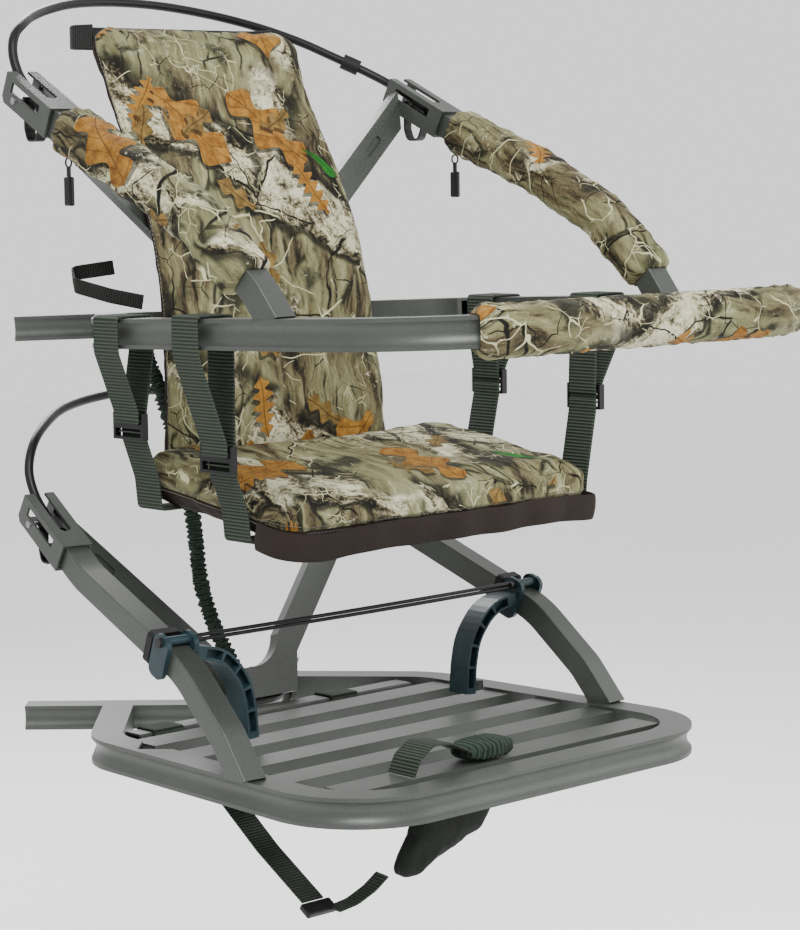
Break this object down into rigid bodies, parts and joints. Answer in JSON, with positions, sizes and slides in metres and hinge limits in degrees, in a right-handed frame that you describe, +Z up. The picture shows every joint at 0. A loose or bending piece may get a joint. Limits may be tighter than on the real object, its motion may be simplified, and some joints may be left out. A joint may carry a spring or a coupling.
{
  "type": "climbing tree stand",
  "caption": "Two-piece climbing tree stand: slatted foot platform and arm-rest seat climber, each gripping a trunk with a V bar and cable loop, padded in camouflage.",
  "frame": {"origin": "inside of the platform V bar's throat, at the level of the platform rail tops, where the trunk bears", "axes": "+Z up the trunk; -Y towards the open front of the stand; +X across, to the right of someone facing the trunk from the front"},
  "size_m": [0.5826, 0.7818, 0.8785],
  "materials": {
    "frame": "olive-grey powder coat",
    "steel": "coated spring steel",
    "stirrup": "moulded, dark blue-grey",
    "rubber": "black",
    "webbing": "woven, dark green-grey",
    "buckle": "moulded black",
    "cable": "black coated cable",
    "camouflage": "printed woodland camouflage over foam"
  },
  "bodies": {
    "foot_platform": {"platform_rail": "frame", "platform_v_bar": "frame", "platform_slats": "frame", "platform_crossbar": "frame", "platform_arm_left": "frame", "platform_arm_right": "frame", "platform_receiver_left": "frame", "platform_receiver_right": "frame", "platform_brace_left": "frame", "platform_brace_right": "frame", "platform_latch_pins": "steel", "stirrup_pins": "steel", "stirrup_strap_left": "rubber", "stirrup_strap_right": "rubber", "stirrup_bungee": "rubber", "toe_strap": "webbing", "toe_strap_elastic": "rubber", "crossbar_webbing": "webbing", "carry_webbing_rear": "webbing", "carry_slider": "buckle", "carry_webbing_front": "webbing", "carry_pad": "camouflage", "tether": "webbing"},
    "seat_climber": {"climber_rail": "frame", "climber_v_bar": "frame", "climber_arm_left": "frame", "climber_arm_right": "frame", "climber_receiver_left": "frame", "climber_receiver_right": "frame", "climber_brace_left": "frame", "climber_brace_right": "frame", "climber_latch_pins": "steel", "back_cushion": "camouflage", "seat_strap_front_left": "webbing", "seat_strap_front_right": "webbing", "seat_strap_rear_left": "webbing", "seat_strap_rear_right": "webbing", "ladder_locks": "buckle", "back_top_tie": "webbing", "back_side_tie_left": "webbing", "back_side_tie_right": "webbing", "arm_sleeve_left": "camouflage", "arm_sleeve_right": "camouflage", "bar_sleeve": "camouflage"},
    "seat": {"seat_cushion": "camouflage"},
    "platform_loop": {"platform_cable": "cable", "platform_cable_stops": "buckle"},
    "climber_loop": {"climber_cable": "cable", "climber_cable_stops": "buckle", "cable_sleeve": "buckle"},
    "platform_latch_left_body": {"platform_latch_left": "steel"},
    "platform_latch_right_body": {"platform_latch_right": "steel"},
    "climber_latch_left_body": {"climber_latch_left": "steel"},
    "climber_latch_right_body": {"climber_latch_right": "steel"},
    "stirrup_left_body": {"stirrup_left": "stirrup"},
    "stirrup_right_body": {"stirrup_right": "stirrup"},
    "zip_pull_left_body": {"zip_pull_left": "buckle"},
    "zip_pull_right_body": {"zip_pull_right": "buckle"}
  },
  "joints": [
    {"name": "climb_slide", "type": "slide", "parent": "foot_platform", "child": "seat_climber", "axis": [0, 0, 1], "range_m": [0, 0.35]},
    {"name": "seat_fold", "type": "hinge", "parent": "seat_climber", "child": "seat", "pos_m": [0, -0.088, 0.291], "axis": [-1, 0, 0], "range_deg": [0, 70]},
    {"name": "platform_cable_slide", "type": "slide", "parent": "foot_platform", "child": "platform_loop", "axis": [0, 0.8426, 0.5385], "range_m": [-0.008, 0.003]},
    {"name": "climber_cable_slide", "type": "slide", "parent": "seat_climber", "child": "climber_loop", "axis": [0, 0.8965, 0.4431], "range_m": [-0.006, 0.003]},
    {"name": "platform_latch_left_spring", "type": "hinge", "parent": "foot_platform", "child": "platform_latch_left_body", "pos_m": [-0.21743, 0.05527, 0.20435], "axis": [0.9964, -0.0849, 0], "range_deg": [-2.5, 14], "stiffness_Nm_per_rad": 0.05},
    {"name": "climber_latch_left_spring", "type": "hinge", "parent": "seat_climber", "child": "climber_latch_left_body", "pos_m": [-0.25571, 0.00775, 0.6286], "axis": [0.9973, -0.0736, 0.0027], "range_deg": [-2.5, 14], "stiffness_Nm_per_rad": 0.05},
    {"name": "stirrup_left_hinge", "type": "hinge", "parent": "foot_platform", "child": "stirrup_left_body", "pos_m": [-0.23797, -0.18386, 0.1151], "axis": [-0.9962, 0.0867, 0], "range_deg": [0, 70]},
    {"name": "zip_pull_left_swing", "type": "hinge", "parent": "seat_climber", "child": "zip_pull_left_body", "pos_m": [-0.26054, -0.06143, 0.57358], "axis": [1, 0, 0], "range_deg": [-20, 20]},
    {"name": "platform_latch_right_spring", "type": "hinge", "parent": "foot_platform", "child": "platform_latch_right_body", "pos_m": [0.21743, 0.05527, 0.20435], "axis": [0.9964, 0.0849, 0], "range_deg": [-2.5, 14], "stiffness_Nm_per_rad": 0.05},
    {"name": "climber_latch_right_spring", "type": "hinge", "parent": "seat_climber", "child": "climber_latch_right_body", "pos_m": [0.25571, 0.00775, 0.6286], "axis": [0.9973, 0.0736, -0.0027], "range_deg": [-2.5, 14], "stiffness_Nm_per_rad": 0.05},
    {"name": "stirrup_right_hinge", "type": "hinge", "parent": "foot_platform", "child": "stirrup_right_body", "pos_m": [0.23797, -0.18386, 0.1151], "axis": [-0.9962, -0.0867, 0], "range_deg": [0, 70]},
    {"name": "zip_pull_right_swing", "type": "hinge", "parent": "seat_climber", "child": "zip_pull_right_body", "pos_m": [0.26054, -0.06143, 0.57358], "axis": [1, 0, 0], "range_deg": [-20, 20]}
  ]
}
